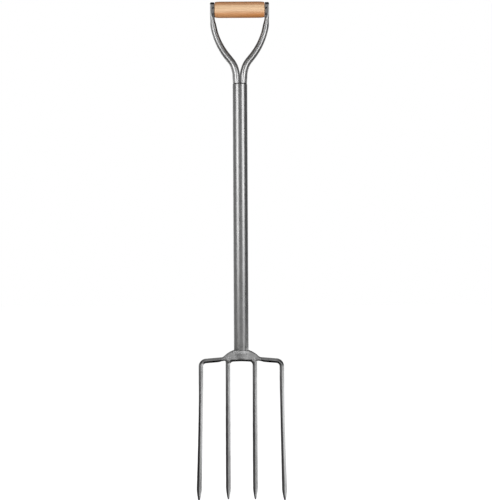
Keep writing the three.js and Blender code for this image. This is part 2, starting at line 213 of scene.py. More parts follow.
def trace(x, z, heading, pieces):
    """Follows straight and curved pieces, each (length, turn to the left, step), in the XZ plane.

    Returns the points passed and the heading at each."""
    points, headings = [(x, z)], [heading]
    for length, turn, step in pieces:
        count = max(1, round(length / step))
        (x, z), heading = points[-1], headings[-1]
        for i in range(1, count + 1):
            share = i / count
            chord = length * share
            if turn:
                chord *= math.sin(turn * share / 2) / (turn * share / 2)
            middle = heading + turn * share / 2
            points.append((x + chord * math.cos(middle), z + chord * math.sin(middle)))
            headings.append(heading + turn * share)
    return np.array(points), np.array(headings)


def place_ring(point, heading, across, forward, toward_front=0.0):
    """A section's points, from offsets to the right of the heading and towards the front."""
    x = point[0] + across * math.sin(heading)
    z = point[1] - across * math.cos(heading)
    return np.stack([x, -toward_front - forward, z], 1)


# --- Materials ---


class Finish:
    """A material, with short calls for the nodes that it is made of."""

    def __init__(self, name):
        self.material = bpy.data.materials.new(name)
        self.material.use_nodes = True
        self.tree = self.material.node_tree
        self.shader = self.tree.nodes["Principled BSDF"]
        self.place = self.tree.nodes.new("ShaderNodeTexCoord").outputs["Object"]

    def feed(self, socket, value):
        if isinstance(value, bpy.types.NodeSocket):
            self.tree.links.new(value, socket)
        else:
            socket.default_value = value

    def set(self, **values):
        """Sets or links the shader's sockets: base_color stands for Base Color."""
        for name, value in values.items():
            self.feed(self.shader.inputs[name.replace("_", " ").title()], value)

    def stretched(self, x, y, z):
        """Object coordinates, multiplied along each axis."""
        node = self.tree.nodes.new("ShaderNodeVectorMath")
        node.operation = "MULTIPLY"
        self.feed(node.inputs[0], self.place)
        node.inputs[1].default_value = (x, y, z)
        return node.outputs["Vector"]

    def noise(self, vector, scale, detail=2.0, roughness=0.5):
        node = self.tree.nodes.new("ShaderNodeTexNoise")
        self.feed(node.inputs["Vector"], vector)
        node.inputs["Scale"].default_value = scale
        node.inputs["Detail"].default_value = detail
        node.inputs["Roughness"].default_value = roughness
        return node.outputs["Fac"]

    def axis(self, name):
        node = self.tree.nodes.new("ShaderNodeSeparateXYZ")
        self.feed(node.inputs[0], self.place)
        return node.outputs[name]

    def math(self, operation, first, second=0.0):
        node = self.tree.nodes.new("ShaderNodeMath")
        node.operation = operation
        self.feed(node.inputs[0], first)
        self.feed(node.inputs[1], second)
        return node.outputs[0]

    def times(self, first, *others):
        """The product of values."""
        for other in others:
            first = self.math("MULTIPLY", first, other)
        return first

    def range(self, value, low, high, first=0.0, second=1.0, smooth=False):
        """Maps value from low..high to first..second, held at the ends."""
        node = self.tree.nodes.new("ShaderNodeMapRange")
        node.interpolation_type = "SMOOTHSTEP" if smooth else "LINEAR"
        for socket, number in zip(node.inputs, (value, low, high, first, second)):
            self.feed(socket, number)
        return node.outputs[0]

    def fade(self, value, base, span, first=0.0, second=1.0):
        """Eases from first to second between two places, given in millimetres from base."""
        start, end = ((base + offset) * MM for offset in span)
        return self.range(value, start, end, first, second, smooth=True)

    def mix(self, share, first, second):
        node = self.tree.nodes.new("ShaderNodeMix")
        node.data_type = "RGBA"
        self.feed(node.inputs[0], share)
        self.feed(node.inputs[6], first)
        self.feed(node.inputs[7], second)
        return node.outputs[2]

    def bump(self, height, distance, normal=None):
        """Bump of a height from 0 to 1, distance in metres."""
        node = self.tree.nodes.new("ShaderNodeBump")
        node.inputs["Distance"].default_value = distance
        self.feed(node.inputs["Height"], height)
        if normal is not None:
            self.feed(node.inputs["Normal"], normal)
        return node.outputs["Normal"]


def grey(value):
    return (value, value, value, 1.0)


NOISE_SPAN = (0.3, 0.7)  # where most of a noise's values lie
BLOTCH_SCALE = 95  # noise scales are per metre
BLOTCH_GLOSS = (0.88, 1.14)
STREAK_SCALE = 260
STREAK_STRETCH = 0.12
STREAK_GLOSS = (1.08, 0.92)
STREAK_BUMP = 0.00003  # bump heights are in metres
SPECK_SCALE = 900
SPECK_SPAN = (0.35, 0.7)
SPECK_PALER = 0.05
SPECK_DARKER = 0.1
SPECK_BUMP = 0.00002
DENT_SCALE = 70
DENT_STRETCH = 0.35


def steel(name, tone, roughness, mottle, streak, dents, grain=1.0):
    """Satin steel: mottled tone, uneven gloss, faint streaks along Z, shallow dents and fine grain."""
    made = Finish(name)
    blotch = made.noise(made.place, BLOTCH_SCALE, detail=4, roughness=0.6)
    streaks = made.noise(made.stretched(1, 1, STREAK_STRETCH), STREAK_SCALE, detail=3, roughness=0.55)
    speck = made.noise(made.place, SPECK_SCALE, detail=2, roughness=0.6)
    colour = made.times(
        made.range(blotch, *NOISE_SPAN, tone * (1 - mottle), tone * (1 + mottle)),
        made.range(streaks, *NOISE_SPAN, 1 - streak, 1 + streak),
        made.range(speck, *SPECK_SPAN, 1 + SPECK_PALER * grain, 1 - SPECK_DARKER * grain),
    )
    dull, bright = BLOTCH_GLOSS
    gloss = made.range(blotch, *NOISE_SPAN, roughness * dull, roughness * bright)
    made.set(
        metallic=1.0,
        roughness=made.times(gloss, made.range(streaks, *NOISE_SPAN, *STREAK_GLOSS)),
    )
    dented = made.bump(made.noise(made.stretched(1, 1, DENT_STRETCH), DENT_SCALE), dents)
    streaked = made.bump(streaks, STREAK_BUMP * grain, dented)
    made.set(normal=made.bump(speck, SPECK_BUMP * grain, streaked))
    return made, colour


SEAM_SOOT = 0.45  # half of the height of the dark line along the weld
SEAM_TONE = 0.15


def along_seam(made, colour):
    """Darkens a colour along the weld between the shaft and the arms."""
    off = made.math("ABSOLUTE", made.math("SUBTRACT", made.axis("Z"), SEAM_Z * MM))
    line = made.fade(off, 0, (SEAM_SOOT, 2 * SEAM_SOOT), SEAM_TONE)
    return made.times(colour, line)


SHAFT_FOOT_FADE = (22, 0)  # over the shaft's foot
SHAFT_FOOT_TONE = 0.86


def tube_material():
    """Drawn tube, with soot along the weld at its top and darker steel by the crown."""
    made, colour = steel("shaft_steel", 0.33, 0.3, mottle=0.05, streak=0.05, dents=0.00006, grain=0.15)
    foot = made.fade(made.axis("Z"), SHAFT_FOOT_Z, SHAFT_FOOT_FADE, 1.0, SHAFT_FOOT_TONE)
    made.set(base_color=along_seam(made, made.times(colour, foot)))
    return made.material


# A tone multiplies the steel's own. A fade says where it sets in, in millimetres from a place.
# Painted shade: a dark patch on the arm's inner side below the grip, where its side turns in toward the
# grip.
INNER_SHADE_FOOT_FADE = (-66, -54)  # from the arm's top: a dark patch on the arm's inner side
INNER_SHADE_HEAD_FADE = (-25, -20)
INNER_SHADE_FOOT_X = 48.5  # how far out the patch reaches
INNER_SHADE_HEAD_X = 56.3
INNER_SHADE_EDGE_FADE = (-0.8, 0.8)
INNER_SHADE_TONE = 0.28
# Painted shade: the tube a little darker above its lower bends, where its highlights dim as it leans.
UPPER_SHADE_FADE = (35, 60)  # from the shaft's top
UPPER_SHADE_TONE = 0.85
# Painted shade: black over the arm's rounded top, which faces up.
END_SHADE_FADE = (-6, -3.2)  # from the arm's top
END_SHADE_TONE = 0.06


def arm_material():
    """The yoke's tube, with painted shade: a little darker above its lower bends, a dark patch on its
    inner side below the grip, and black over its rounded top, which faces up."""
    made, colour = steel("yoke_steel", 0.52, 0.36, mottle=0.04, streak=0.03, dents=0.00002, grain=0.08)
    z = made.axis("Z")
    side = made.math("ABSOLUTE", made.axis("X"))
    inner_shade_foot = (ARM_TOP_Z + INNER_SHADE_FOOT_FADE[1]) * MM
    inner_shade_head = (ARM_TOP_Z + INNER_SHADE_HEAD_FADE[0]) * MM
    inner_shade_x = made.range(z, inner_shade_foot, inner_shade_head, INNER_SHADE_FOOT_X * MM, INNER_SHADE_HEAD_X * MM)
    # The patch of painted shade on the inner side.
    inner_shade = made.times(
        made.fade(made.math("SUBTRACT", side, inner_shade_x), 0, INNER_SHADE_EDGE_FADE, 1.0, 0.0),
        made.fade(z, ARM_TOP_Z, INNER_SHADE_FOOT_FADE),
        made.fade(z, ARM_TOP_Z, INNER_SHADE_HEAD_FADE, 1.0, 0.0),
    )
    tone = made.times(
        made.fade(z, ARM_TOP_Z, END_SHADE_FADE, 1.0, END_SHADE_TONE),
        made.fade(z, SHAFT_TOP_Z, UPPER_SHADE_FADE, 1.0, UPPER_SHADE_TONE),
        made.range(inner_shade, 0, 1, 1.0, INNER_SHADE_TONE),
    )
    made.set(base_color=along_seam(made, made.times(colour, tone)))
    return made.material


POINT_FADE = (1, 12)  # from the points
POINT_TONE = 0.3
# The crown's face is painted paler, as light on it; the painted light is weaker toward its flanks.
CROWN_FOOT_FADE = (-6, 0)  # from the underside
CROWN_SIDE_FADE = (-2, 4)  # from the crown's half width
CROWN_LIGHT_TONE = 1.6
CROWN_ROUGHER = 0.2
FLANK_FADE = (8, 26)  # from the fork's middle
FLANK_LIGHT_TONE = 0.82
# Painted shade on the dome's rim, which faces up.
RIM_FADE = (-3, -1)  # from the dome's radius
RIM_SHADE_TONE = 0.55
BAR_FADE = (0, 6)  # from the crown's half width
CORNER_FADE = (70, 77)  # from the fork's middle
# The bars are painted paler, as light on their upper faces.
BAR_LIGHT_TONE = 1.3
# Painted shade on the bars' lower facets and on the crown's lower edge.
RIDGE_FADE = (-2, -0.3)  # from the bar's front ridge
UNDER_FADE = (3.5, 6)  # from the underside
UNDER_ROOT_FADE = (-9, -1)  # from the underside
UNDER_ROOT_SHARE = 0.1
UNDER_SIDE_FADE = (-7, -3)  # from an inner tine's middle
UNDER_SHADE_TONE = 0.12


def crown_under_shade(made, z, side):
    """1 on the lower edge of the crown, between the inner tines, where shade is painted."""
    return made.times(
        made.fade(z, CROWN_BOTTOM_Z, UNDER_FADE, 1.0, 0.0),
        made.fade(z, CROWN_BOTTOM_Z, UNDER_ROOT_FADE, UNDER_ROOT_SHARE),
        made.fade(side, INNER_TINE_X, UNDER_SIDE_FADE, 1.0, 0.0),
    )


def below_ridge(made, z, side):
    """1 below the line of the front ridge of an outer tine's bar, where shade is painted on its lower facet.
    """
    slope = math.tan(TINE_BAR_SLOPE)
    level = made.math("ADD", z, made.times(side, slope))
    ridge_z = CROWN_BOTTOM_Z + TINE_BAR_UP + CROWN_HALF_WIDTH * slope
    return made.fade(level, ridge_z, RIDGE_FADE, 1.0, 0.0)


def dome_rim_shade(made, z, side):
    """1 outside a circle that runs just inside the dome's outline, where shade is painted on the rim."""
    up = made.math("SUBTRACT", z, (SHAFT_FOOT_Z - CROWN_ARC_BELOW) * MM)
    square = made.math("ADD", made.times(side, side), made.times(up, up))
    return made.fade(made.math("SQRT", square), CROWN_ARC_R, RIM_FADE)


def head_material():
    """Forged steel: dark points and a duller crown. Light and shade are painted on: a paler crown face,
    less so toward its flanks, a dark rim where the dome faces up, paler bars, and dark undersides."""
    made, colour = steel("forged_steel", 0.33, 0.36, mottle=0.1, streak=0.05, dents=0.0002, grain=0.35)
    z = made.axis("Z")
    side = made.math("ABSOLUTE", made.axis("X"))
    crown = made.times(
        made.fade(z, CROWN_BOTTOM_Z, CROWN_FOOT_FADE),
        made.fade(side, CROWN_HALF_WIDTH, CROWN_SIDE_FADE, 1.0, 0.0),
    )
    bar = made.times(
        made.fade(side, CROWN_HALF_WIDTH, BAR_FADE),
        made.fade(side, 0, CORNER_FADE, 1.0, 0.0),
    )
    bar_under_shade = made.times(below_ridge(made, z, side), bar)
    under_shade = made.math("MAXIMUM", crown_under_shade(made, z, side), bar_under_shade)
    rim_shade = made.times(crown, dome_rim_shade(made, z, side))
    tone = made.times(
        made.fade(z, TIPS_Z, POINT_FADE, POINT_TONE),
        made.range(crown, 0, 1, 1.0, CROWN_LIGHT_TONE),
        made.fade(made.times(crown, side), 0, FLANK_FADE, 1.0, FLANK_LIGHT_TONE),
        made.range(rim_shade, 0, 1, 1.0, RIM_SHADE_TONE),
        made.range(bar, 0, 1, 1.0, BAR_LIGHT_TONE),
        made.range(under_shade, 0, 1, 1.0, UNDER_SHADE_TONE),
    )
    rough = made.shader.inputs["Roughness"].links[0].from_socket
    made.set(
        base_color=made.times(colour, tone),
        roughness=made.math("ADD", rough, made.range(crown, 0, 1, 0.0, CROWN_ROUGHER)),
    )
    return made.material


def pin_material():
    """Dark drawn steel for the rod and its pins."""
    made, colour = steel("pin_steel", 0.12, 0.42, mottle=0.12, streak=0.05, dents=0.00005)
    made.set(base_color=colour)
    return made.material


# The pale colour also stands for the painted sheen along the grip.
ASH_PALE_AND_SHEEN = (0.82, 0.56, 0.34, 1)
ASH_WARM = (0.58, 0.24, 0.08, 1)
ASH_RING = (0.46, 0.20, 0.07, 1)
ASH_PORE = (0.30, 0.13, 0.05, 1)
# The grain's noises: drift of the rings, colour bands, fine streaks and pores. Each has its stretch
# along the grip, then its scale, detail and roughness.
GRAIN = ((0.05, 45, 2, 0.5), (0.05, 130, 3, 0.55), (0.02, 600, 3, 0.6), (0.04, 1500, 1, 0.4))
RING_SPACING = 0.0042  # metres, as is RING_DRIFT
RING_TILT = 0.35  # how much the rings rise toward the front
RING_DRIFT = 0.016
RING_SPAN = (0.2, 1.0)
RING_SHARE = 0.28
BAND_SPAN = (0.35, 0.65)
BAND_SHARE = 0.2
FINE_SPAN = (0.45, 0.75)
FINE_SHARE = 0.15
FINE_BUMP = 0.00002
PORE_SPAN = (0.6, 0.72)
PORE_SHARE = 0.08
PORE_BUMP = -0.00003
# Painted light on the grip: a pale sheen along this line, with warmer, darker wood above and below as shade.
SHEEN_LINE_Z = GRIP_Z + 0.8
SHEEN_FADE = (3, 12)  # above and below the palest line
SHEEN_SHADE_SHARES = (-0.1, 0.9)
VARNISH_ROUGHNESS = (0.46, 0.54)


def wood_material():
    """Ash with growth rings and pores along the grip, under a thin satin varnish. A painted sheen keeps
    it pale along a line just above its middle, and painted shade makes it warmer and darker toward its top
    and bottom."""
    made = Finish("ash_wood")
    drift, band, fine, pores = (
        made.noise(made.stretched(stretch, 1, 1), *settings) for stretch, *settings in GRAIN
    )
    across = made.math("ADD", made.axis("Z"), made.times(made.axis("Y"), RING_TILT))
    ring_place = made.math("ADD", across, made.times(drift, RING_DRIFT))
    wave = made.math("SINE", made.times(ring_place, 2 * math.pi / RING_SPACING))
    ring = made.range(wave, *RING_SPAN, smooth=True)
    pore = made.range(pores, *PORE_SPAN)
    # Painted sheen along the grip, shading to warmer wood above and below; the bands are the grain's own.
    off_sheen_line = made.math("ABSOLUTE", made.math("SUBTRACT", made.axis("Z"), SHEEN_LINE_Z * MM))
    sheen_and_bands = made.fade(off_sheen_line, 0, SHEEN_FADE, *SHEEN_SHADE_SHARES)
    sheen_and_bands = made.math("ADD", sheen_and_bands, made.range(band, *BAND_SPAN, -BAND_SHARE, BAND_SHARE))
    colour = made.mix(sheen_and_bands, ASH_PALE_AND_SHEEN, ASH_WARM)
    colour = made.mix(made.times(ring, RING_SHARE), colour, ASH_RING)
    colour = made.mix(made.range(fine, *FINE_SPAN, 0.0, FINE_SHARE), colour, ASH_WARM)
    colour = made.mix(made.times(pore, PORE_SHARE), colour, ASH_PORE)
    made.set(base_color=colour, roughness=made.range(fine, *NOISE_SPAN, *VARNISH_ROUGHNESS))
    made.set(coat_weight=0.25, coat_roughness=0.35)
    made.set(normal=made.bump(pore, PORE_BUMP, made.bump(fine, FINE_BUMP)))
    return made.material


HEAD_STEEL = head_material()
TUBE_STEEL = tube_material()
YOKE_STEEL = arm_material()
PIN_STEEL = pin_material()
ASH_WOOD = wood_material()

# --- Grip ---

GRIP_SHOULDER = 16.0  # length over which each end swells to the full radius
GRIP_SHOULDER_DROP = 1.2
GRIP_SHOULDER_POWER = 3.5
GRIP_EDGE_R = 0.9
GRIP_BORE_R = 4.3


def grip_radius(along):
    """Radius of the barrel at a distance from its middle."""
    into = max(0.0, 1 - (GRIP_HALF_LENGTH - abs(along)) / GRIP_SHOULDER)
    return GRIP_R - GRIP_SHOULDER_DROP * into**GRIP_SHOULDER_POWER


def make_grip():
    edge = GRIP_HALF_LENGTH - GRIP_EDGE_R
    body = [(along, grip_radius(along)) for along in np.linspace(-edge, edge, 72)]
    right = rounded_edge(GRIP_HALF_LENGTH, grip_radius(edge), -GRIP_EDGE_R, GRIP_EDGE_R)[1:]
    left = [(-along, radius) for along, radius in reversed(right)]
    bore = [(along, GRIP_BORE_R) for along in np.linspace(GRIP_HALF_LENGTH, -GRIP_HALF_LENGTH, 9)]
    rings = turned(left + body + right + bore, "x", GRIP_Z, sides=128)
    piece = new_mesh("grip_barrel", *loft(rings, looped=True))
    finish_piece(piece, ASH_WOOD, "grip")


# --- Pins ---

PIN_R = 2.0
PIN_WALL = 0.8
PIN_CHAMFER = 0.35
PIN_RECESS = 0.7
PIN_SLOT = 0.6
PIN_CLEARANCE = 0.15


def make_pin(side, name):
    """A rolled spring pin along Y, open down the side that faces away from the grip."""
    half = PIN_HALF_LENGTH - PIN_RECESS
    inner = PIN_R - PIN_WALL
    section = [
        (inner, -half),
        (PIN_R - PIN_CHAMFER, -half),
        (PIN_R, PIN_CHAMFER - half),
        (PIN_R, half - PIN_CHAMFER),
        (PIN_R - PIN_CHAMFER, half),
        (inner, half),
    ]
    open_angle = PIN_SLOT / PIN_R
    rings = []
    for angle in np.linspace(open_angle / 2, 2 * math.pi - open_angle / 2, 49):
        ring = [
            (side * (PIN_X + radius * math.cos(angle)), along, PIN_Z + radius * math.sin(angle))
            for radius, along in section
        ]
        rings.append(ring)
    piece = new_mesh(f"spring_pin_{name}", *loft(rings))
    finish_piece(piece, PIN_STEEL, f"grip_pin_{name}")


# --- Yoke arms ---

ARM_R = SHAFT_R / 2
ARM_LEAN = math.radians(38.5)
ARM_ROOT_STRAIGHT = 16.7
ARM_LOWER_BEND_R = 49
ARM_UPPER_BEND_R = 139
ARM_TAPER_FROM = 134  # below the arm's top: a slight taper, then a short, stronger one
ARM_TAPER_TO = 49
ARM_NARROW_TO = 33
ARM_SQUARE_FROM = 34  # below the arm's top, where its front starts to turn flat
ARM_SQUARE_TO = 17
ARM_ROOT_HALF_WIDTH = ARM_R - GAP / 2
ARM_TAPERED_HALF_WIDTH = 6.3
ARM_END_HALF_WIDTH = 4.6
ARM_END_X = ARM_OUTSIDE_X - ARM_END_HALF_WIDTH
ARM_ROOT_SQUARENESS = 2.2
ARM_END_SQUARENESS = 10  # exponent of the flattened section; 2 is an ellipse
ARM_SWELL = 0.9  # how much the outer side swells where the tube starts to bend
ARM_SWELL_HEIGHTS = (0, 18, 26, 46)  # above the seam: start, full, full, end
ARM_ROOT_HALF_DEPTH = 14
ARM_HALF_DEPTH = 10.2
ARM_END_HALF_DEPTH = 8.8
ARM_ROOT_LENGTH = 56  # height over which the root loses the outline of the shaft
ARM_DEPTH_LENGTH = 1.3 * ARM_ROOT_LENGTH  # height over which the root loses its depth
ARM_ROOT_CRISPNESS = 12  # how crisply the root's two outlines meet
ARM_FOOT_ROUND = 0.7
ARM_CAP_ROUND = 3.4
SPIGOT_R = SHAFT_R - SHAFT_WALL - GAP
SPIGOT_LENGTH = 9
ARM_SIDES = 96


def arm_path():
    """The right arm's centre line above the shaft, with the heading at each point."""
    bends = (ARM_LOWER_BEND_R + ARM_UPPER_BEND_R) * (1 - math.cos(ARM_LEAN))
    straight = (ARM_END_X - ARM_R - bends) / math.sin(ARM_LEAN)
    climbed = (ARM_LOWER_BEND_R + ARM_UPPER_BEND_R) * math.sin(ARM_LEAN)
    climbed += ARM_ROOT_STRAIGHT + straight * math.cos(ARM_LEAN)
    foot = SHAFT_TOP_Z + GAP
    pieces = [
        (ARM_ROOT_STRAIGHT - GAP, 0, 1.2),
        (ARM_LOWER_BEND_R * ARM_LEAN, -ARM_LEAN, 1.5),
        (straight, 0, 2),
        (ARM_UPPER_BEND_R * ARM_LEAN, ARM_LEAN, 2),
        (ARM_TOP_Z - SHAFT_TOP_Z - climbed, 0, 1),
    ]
    return trace(ARM_R, foot, math.pi / 2, pieces)


def round_reach(angle, radius):
    """Distance from the arm's centre to a circle about the shaft's axis, in each direction."""
    return np.sqrt(radius**2 - (ARM_R * np.sin(angle)) ** 2) - ARM_R * np.cos(angle)


def lesser(first, second, power):
    """The smaller of two reaches, rounded where they cross."""
    return (first**-power + second**-power) ** (-1 / power)


def oval_reach(angle, half_width, half_depth, squareness):
    """Distance from the middle of an oval to its outline, in each direction."""
    across, forward = np.abs(np.cos(angle)) / half_width, np.abs(np.sin(angle)) / half_depth
    return (across**squareness + forward**squareness) ** (-1 / squareness)


def arm_section(angle, z):
    """The arm's outline at a height: half of the shaft's own tube with round corners at the root, an
    oval tube above, and a flat-faced end beside the grip."""
    up, down = z - SHAFT_TOP_Z, z - ARM_TOP_Z
    pinch = ARM_TAPERED_HALF_WIDTH - ARM_END_HALF_WIDTH
    half_width = eased(down, -ARM_TAPER_FROM, -ARM_TAPER_TO, ARM_ROOT_HALF_WIDTH, ARM_TAPERED_HALF_WIDTH)
    half_width -= eased(down, -ARM_TAPER_TO, -ARM_NARROW_TO, 0, pinch)
    half_depth = eased(up, 0, ARM_DEPTH_LENGTH, ARM_ROOT_HALF_DEPTH, ARM_HALF_DEPTH)
    half_depth -= eased(down, -ARM_TAPER_FROM, -ARM_SQUARE_TO, 0, ARM_HALF_DEPTH - ARM_END_HALF_DEPTH)
    squareness = eased(up, 0, ARM_ROOT_LENGTH, ARM_ROOT_SQUARENESS, 2)
    squareness += eased(down, -ARM_SQUARE_FROM, -ARM_SQUARE_TO, 0, ARM_END_SQUARENESS - 2)
    start, full, still_full, end = ARM_SWELL_HEIGHTS
    swell = eased(up, start, full, 0, ARM_SWELL) - eased(up, still_full, end, 0, ARM_SWELL)
    outer = half_width + swell * (np.cos(angle) > 0)
    tube = oval_reach(angle, outer, half_depth, squareness)
    root = lesser(tube, round_reach(angle, SHAFT_R + swell), ARM_ROOT_CRISPNESS)
    return root + (tube - root) * eased(up, 0, ARM_ROOT_LENGTH, 0, 1)


def arm_rings():
    """Rings up the half-round spigot inside the shaft, then up the arm to its closed end."""
    angle = np.linspace(0, 2 * math.pi, ARM_SIDES, endpoint=False)
    points, headings = arm_path()
    rings = []
    for z in np.linspace(SHAFT_TOP_Z - SPIGOT_LENGTH, SHAFT_TOP_Z + GAP, 4):
        flat = (ARM_R - GAP / 2) / np.maximum(-np.cos(angle), 1e-3)
        reach = np.minimum(round_reach(angle, SPIGOT_R), flat)
        rings.append(place_ring((ARM_R, z), math.pi / 2, reach * np.cos(angle), reach * np.sin(angle)))
    cap_from = ARM_TOP_Z - ARM_CAP_ROUND
    for point, heading in zip(points, headings):
        height = point[1]
        foot = max(0.0, 1 - (height - SHAFT_TOP_Z - GAP) / ARM_FOOT_ROUND)
        reach = arm_section(angle, height) - ARM_FOOT_ROUND * (1 - math.sqrt(1 - foot**2))
        cap = min(1.0, max(0.0, (height - cap_from) / ARM_CAP_ROUND))
        reach = reach - ARM_CAP_ROUND * (1 - math.sqrt(max(0.0, 1 - cap**2)))
        rings.append(place_ring(point, heading, reach * np.cos(angle), reach * np.sin(angle)))
    return rings


def make_arm(side, name):
    vertices, faces = loft(arm_rings())
    if side < 0:
        vertices = mirrored(vertices)
    piece = new_mesh(f"yoke_arm_{name}", vertices, faces)
    reach = 2 * ARM_END_HALF_DEPTH
    start, end = (side * PIN_X, -reach, PIN_Z), (side * PIN_X, reach, PIN_Z)
    drill(piece, start, end, PIN_R + PIN_CLEARANCE)
    finish_piece(piece, YOKE_STEEL, f"arm_{name}")


# --- Shaft ---

SHAFT_EDGE_R = 0.6


def make_shaft():
    """A plain tube with eased rims."""
    bore = SHAFT_R - SHAFT_WALL
    wall = np.linspace(SHAFT_FOOT_Z + SHAFT_EDGE_R, SHAFT_TOP_Z - SHAFT_EDGE_R, 90)
    top = rounded_edge(SHAFT_TOP_Z, SHAFT_R, -SHAFT_EDGE_R, SHAFT_EDGE_R)[1:]
    foot = [(SHAFT_FOOT_Z + SHAFT_TOP_Z - along, radius) for along, radius in reversed(top)]
    inside = [(along, bore) for along in np.linspace(SHAFT_TOP_Z, SHAFT_FOOT_Z, 20)]
    profile = foot + [(along, SHAFT_R) for along in wall] + top + inside
    piece = new_mesh("shaft_tube", *loft(turned(profile, "z", sides=128), looped=True))
    finish_piece(piece, TUBE_STEEL, "shaft")


# --- Tines ---

RIDGE_R = 1.1  # rounding of the front and back ridges
EDGE_R = 0.9  # rounding of the side edges
TINE_BAR_WIDTH = 9.4
TINE_CORNER_R = 11.5
TINE_HEIGHTS = (40, 60, 91, 130, 160, 200, 244)
OUTER_TINE_WIDTHS = (10.2, 9.8, 9.2, 8.8, 8.4, 8.2, 9)
INNER_TINE_WIDTHS = (9.9, 9.9, 9.9, 9.8, 9.6, 9.2, 9)
TINE_ROOT_WIDTH = 9
BAR_ROOT_WIDTH = 7.2  # an outer tine's bar is thinned from below where it leaves the crown
BAR_ROOT_X = CROWN_HALF_WIDTH - 3
BAR_ROOT_LENGTH = 15
TINE_ROOT_DEPTH = 14
TINE_END_DEPTH = 9.5
TINE_POINT_LENGTH = 24
TINE_POINT_SCALE = 0.28
TINE_POINT_POWER = 1.6
TINE_TIP_LENGTH = 2  # the very end of the point
TINE_END_ROUND = 1.2
TINE_SMALLEST_SCALE = 0.02
TINE_SPLAY = 4.7
TINE_SPLAY_FROM = 230
TINE_SPLAY_POWER = 1.25
TINE_DISH = 14
TINE_INTO_CROWN = 6
CROWN_HEIGHT = CROWN_BOTTOM_Z - TIPS_Z
BAR_TURN = (10, 80)  # degrees of turn over which a bar's section becomes a blade's
LUMPS = ((11, 0.16), (4, 0.05))  # size and height of the unevenness of forged steel
LUMP_OFFSETS = (0, 31.4, 67.1)  # they set the unevenness along X, Y and Z apart
LUMPS_FROM = 12  # distance along a tine where the unevenness starts, clear of the crown
LUMPS_TO = 40
BLADE_STEP = 2.2  # between rings
POINT_PIECES = [(TINE_POINT_LENGTH - TINE_TIP_LENGTH, 0, 0.8), (TINE_TIP_LENGTH, 0, 0.2)]


def tine_depth(height):
    return TINE_END_DEPTH + (TINE_ROOT_DEPTH - TINE_END_DEPTH) * height / CROWN_HEIGHT


def tine_dish(height):
    return TINE_DISH * max(0.0, 1 - height / CROWN_HEIGHT) ** 2


def tine_splay(height):
    return TINE_SPLAY * max(0.0, 1 - height / TINE_SPLAY_FROM) ** TINE_SPLAY_POWER


def tine_reach(height):
    """How far an outer tine's outside stands from its own straight line."""
    return tine_splay(height) + np.interp(height, TINE_HEIGHTS, OUTER_TINE_WIDTHS) / 2


OUTER_TINE_X = outer_high[0] - max(map(tine_reach, range(TINE_POINT_LENGTH, TINE_SPLAY_FROM)))


def point_scale(from_point):
    """How much of its section a tine keeps near its point, with the very end rounded off."""
    into = max(0.0, 1 - from_point / TINE_POINT_LENGTH)
    scale = 1 - (1 - TINE_POINT_SCALE) * into**TINE_POINT_POWER
    end = max(0.0, 1 - from_point / TINE_END_ROUND)
    return scale * max(TINE_SMALLEST_SCALE, math.sqrt(1 - end**2))


def facet_of(half_width, half_depth, edge_r=EDGE_R, ridge_r=RIDGE_R):
    """The angle of a diamond's facet normal and the facet's distance from the middle."""
    run, rise = half_width - edge_r, half_depth - ridge_r
    angle = np.arccos((ridge_r - edge_r) / np.hypot(run, rise)) - np.arctan2(rise, run)
    return angle, run * np.cos(angle) + edge_r


def diamond(half_width, half_depth):
    """Offsets across and forward of a diamond section with rounded ridges and edges."""
    scale = min(1.0, half_width / (3 * EDGE_R), half_depth / (3 * RIDGE_R))
    edge_r, ridge_r = EDGE_R * scale, RIDGE_R * scale
    facet, _ = facet_of(half_width, half_depth, edge_r, ridge_r)
    edge, ridge = np.linspace(0, facet, 5), np.linspace(facet, math.pi / 2, 5)
    across = np.append(half_width - edge_r + edge_r * np.cos(edge), ridge_r * np.cos(ridge))
    forward = np.append(edge_r * np.sin(edge), half_depth - ridge_r + ridge_r * np.sin(ridge))
    share = np.linspace(0, 1, 6)[1:-1]
    across = np.insert(across, 5, across[4] + (across[5] - across[4]) * share)
    forward = np.insert(forward, 5, forward[4] + (forward[5] - forward[4]) * share)
    right = np.append(across, -across[-2::-1])
    front = np.append(forward, forward[-2::-1])
    return np.append(right, right[-2:0:-1]), np.append(front, -front[-2:0:-1])


def lump(point, size):
    """A smoothly changing shift, up to about 1 along each axis, over lengths of about size."""
    place = Vector(point) / size
    return Vector([noise.noise(place + Vector((offset, offset, offset))) for offset in LUMP_OFFSETS])


def forged(ring, strength):
    """Moves a ring's points a little, unevenly, as hammered or rolled steel is."""
    moved = []
    for point in ring:
        shift = Vector()
        for size, height in LUMPS:
            shift += lump(point, size) * height
        moved.append(np.array(point) + np.array(shift) * strength)
    return moved


def bar_width(x):
    """Height of an outer tine's bar."""
    return eased(x, BAR_ROOT_X, BAR_ROOT_X + BAR_ROOT_LENGTH, BAR_ROOT_WIDTH, TINE_BAR_WIDTH)


def bar_middle(x):
    """Height of the middle of an outer tine's bar."""
    fall = (x - CROWN_HALF_WIDTH) * math.tan(TINE_BAR_SLOPE)
    return CROWN_BOTTOM_Z + TINE_BAR_UP - fall + (TINE_BAR_WIDTH - bar_width(x)) / 2


